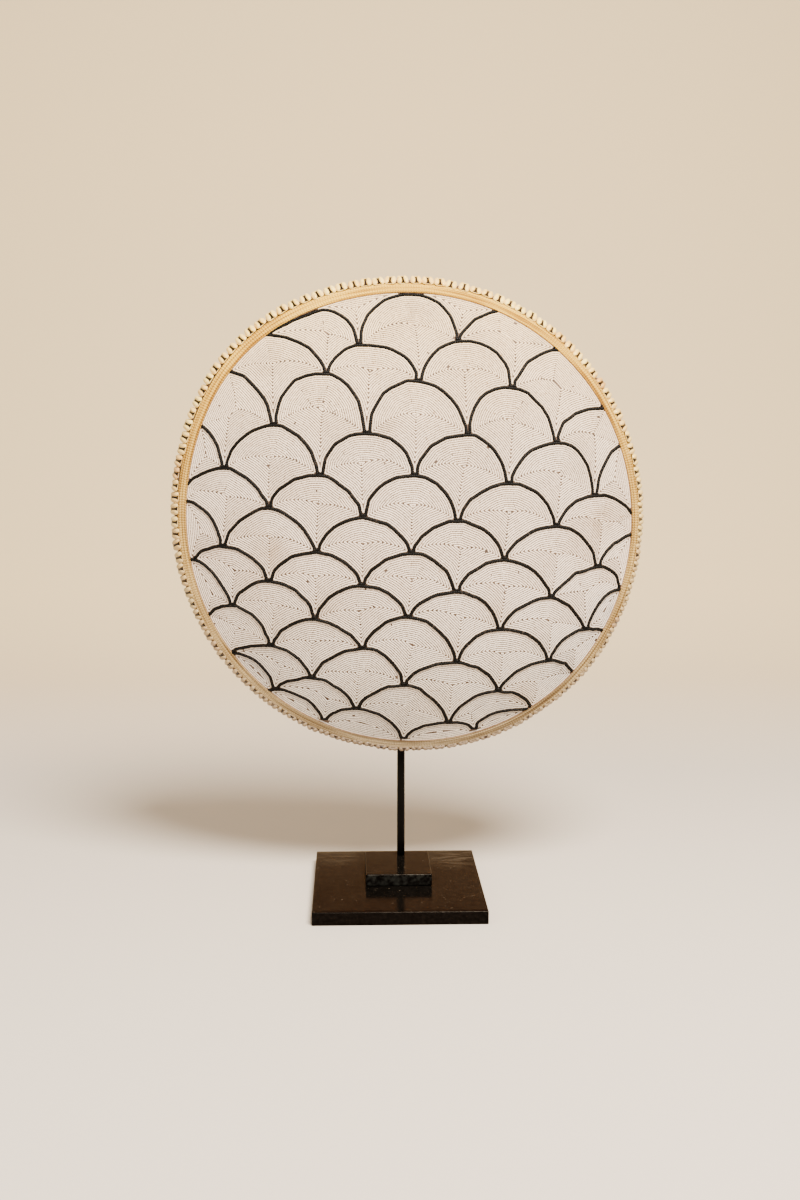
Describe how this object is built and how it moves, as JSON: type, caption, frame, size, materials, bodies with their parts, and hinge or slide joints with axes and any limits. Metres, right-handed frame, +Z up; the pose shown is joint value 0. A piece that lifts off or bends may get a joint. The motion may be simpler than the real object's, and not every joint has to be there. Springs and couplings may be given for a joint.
{
  "type": "beaded shield on a stand",
  "caption": "Round domed shield covered in glass beads in a fish-scale pattern, edged with cowrie shells, held upright by a rod on a base plate.",
  "frame": {"origin": "middle of the base plate's underside", "axes": "+Z up, -Y out of the shield's beaded front, +X to the right as seen from the front"},
  "size_m": [0.474, 0.193, 0.6162],
  "materials": {
    "white_beads": "rows of small opaque warm-white glass beads on brown cloth",
    "black_beads": "glossy opaque black",
    "plant_fibre": "pale plant fibre, bound round",
    "shell": "naturally glossy cream shell with dark slots",
    "slat_wood": "bare, aged",
    "black_rod": "satin black",
    "brown_lacquer": "glossy brown-black lacquer, dusty and scuffed"
  },
  "bodies": {
    "root": {"shield_body": "white_beads", "scale_outlines": "black_beads", "rim_band": "plant_fibre", "cowrie_ring": "shell", "back_slat": "slat_wood", "stand_rod": "black_rod", "base_block": "brown_lacquer", "base_plate": "brown_lacquer"}
  },
  "joints": []
}
